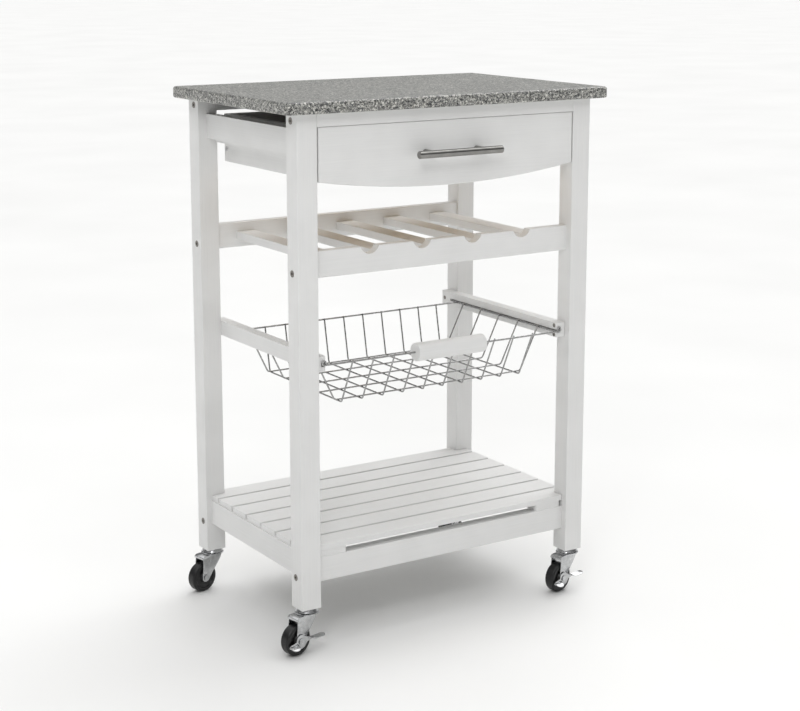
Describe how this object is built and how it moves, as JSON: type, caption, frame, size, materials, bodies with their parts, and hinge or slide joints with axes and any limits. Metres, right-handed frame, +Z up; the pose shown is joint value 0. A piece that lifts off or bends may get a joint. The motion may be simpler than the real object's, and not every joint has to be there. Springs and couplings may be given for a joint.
{
  "type": "rolling utility cart",
  "caption": "Rolling kitchen cart with a stone worktop, a drawer with a bar pull, a bottle rack, a sliding wire basket and a slatted shelf on swivel castors.",
  "frame": {"origin": "on the floor under the middle of the whole cart, pull and castors included", "axes": "+Z up, -Y towards the front with the drawer pull, +X to the right seen from the front"},
  "size_m": [0.6063, 0.4099, 0.863],
  "materials": {
    "painted_wood": "white satin paint",
    "granite": "polished grey speckled granite",
    "bare_wood": "plain beech and birch plywood",
    "polished_nickel": "polished nickel plate",
    "chrome_wire": "bright chrome plated wire",
    "zinc": "bright zinc plated pressed steel",
    "dark_steel": "dark bronzed steel",
    "black_tread": "matt black moulded wheel"
  },
  "bodies": {
    "frame": {"back_top_rail": "painted_wood", "barrel_nuts": "zinc", "basket_rail_left": "painted_wood", "basket_rail_right": "painted_wood", "basket_rail_screws": "dark_steel", "bottom_back_rail": "painted_wood", "bottom_front_rail": "painted_wood", "bottom_side_rail_left": "painted_wood", "bottom_side_rail_right": "painted_wood", "castor_stems": "zinc", "drawer_runners": "painted_wood", "frame_bolts": "dark_steel", "frame_dowels": "bare_wood", "front_top_rail": "painted_wood", "leg_back_left": "painted_wood", "leg_back_right": "painted_wood", "leg_front_left": "painted_wood", "leg_front_right": "painted_wood", "rack_back_rail": "painted_wood", "rack_front_rail": "painted_wood", "rack_slats": "painted_wood", "shelf_battens": "painted_wood", "shelf_slats": "painted_wood", "upper_side_rail_left": "painted_wood", "upper_side_rail_right": "painted_wood", "worktop": "granite", "worktop_screws": "zinc"},
    "drawer": {"drawer_back": "painted_wood", "drawer_bottom": "bare_wood", "drawer_front": "painted_wood", "drawer_screws": "zinc", "drawer_side_left": "painted_wood", "drawer_side_right": "painted_wood", "pull_bar": "polished_nickel", "pull_posts": "polished_nickel", "pull_screws": "zinc"},
    "basket": {"basket_back_rim": "chrome_wire", "basket_back_wires": "chrome_wire", "basket_floor_wires": "chrome_wire", "basket_front_rim": "chrome_wire", "basket_front_wires": "chrome_wire", "basket_grip": "painted_wood", "basket_left_wires": "chrome_wire", "basket_right_wires": "chrome_wire", "basket_runner_left": "chrome_wire", "basket_runner_right": "chrome_wire"},
    "castor_front_left": {"castor_fork_front_left": "zinc", "castor_axle_front_left": "zinc"},
    "wheel_front_left": {"castor_wheel_front_left": "black_tread"},
    "castor_front_right": {"castor_fork_front_right": "zinc", "castor_axle_front_right": "zinc"},
    "wheel_front_right": {"castor_wheel_front_right": "black_tread"},
    "castor_back_left": {"castor_fork_back_left": "zinc", "castor_axle_back_left": "zinc"},
    "wheel_back_left": {"castor_wheel_back_left": "black_tread"},
    "castor_back_right": {"castor_fork_back_right": "zinc", "castor_axle_back_right": "zinc"},
    "wheel_back_right": {"castor_wheel_back_right": "black_tread"},
    "brake_front_left": {"castor_brake_front_left": "zinc"},
    "brake_front_right": {"castor_brake_front_right": "zinc"}
  },
  "joints": [
    {"name": "drawer_slide", "type": "slide", "parent": "frame", "child": "drawer", "axis": [0, -1, 0], "range_m": [0, 0.25]},
    {"name": "basket_slide", "type": "slide", "parent": "frame", "child": "basket", "axis": [0, -1, 0], "range_m": [0, 0.22]},
    {"name": "swivel_front_left", "type": "hinge", "parent": "frame", "child": "castor_front_left", "pos_m": [-0.2575, -0.15425, 0.06], "axis": [0, 0, 1], "continuous": true},
    {"name": "wheel_spin_front_left", "type": "hinge", "parent": "castor_front_left", "child": "wheel_front_left", "pos_m": [-0.28095, -0.15979, 0.025], "axis": [0.23, -0.9732, 0], "continuous": true},
    {"name": "brake_press_front_left", "type": "hinge", "parent": "castor_front_left", "child": "brake_front_left", "pos_m": [-0.28095, -0.15979, 0.025], "axis": [0.23, -0.9732, 0], "range_deg": [0, 15]},
    {"name": "swivel_front_right", "type": "hinge", "parent": "frame", "child": "castor_front_right", "pos_m": [0.2575, -0.15425, 0.06], "axis": [0, 0, 1], "continuous": true},
    {"name": "wheel_spin_front_right", "type": "hinge", "parent": "castor_front_right", "child": "wheel_front_right", "pos_m": [0.23405, -0.15979, 0.025], "axis": [0.23, -0.9732, 0], "continuous": true},
    {"name": "brake_press_front_right", "type": "hinge", "parent": "castor_front_right", "child": "brake_front_right", "pos_m": [0.23405, -0.15979, 0.025], "axis": [0.23, -0.9732, 0], "range_deg": [0, 15]},
    {"name": "swivel_back_left", "type": "hinge", "parent": "frame", "child": "castor_back_left", "pos_m": [-0.2575, 0.17525, 0.06], "axis": [0, 0, 1], "continuous": true},
    {"name": "wheel_spin_back_left", "type": "hinge", "parent": "castor_back_left", "child": "wheel_back_left", "pos_m": [-0.28095, 0.16971, 0.025], "axis": [0.23, -0.9732, 0], "continuous": true},
    {"name": "swivel_back_right", "type": "hinge", "parent": "frame", "child": "castor_back_right", "pos_m": [0.2575, 0.17525, 0.06], "axis": [0, 0, 1], "continuous": true},
    {"name": "wheel_spin_back_right", "type": "hinge", "parent": "castor_back_right", "child": "wheel_back_right", "pos_m": [0.23405, 0.16971, 0.025], "axis": [0.23, -0.9732, 0], "continuous": true}
  ]
}
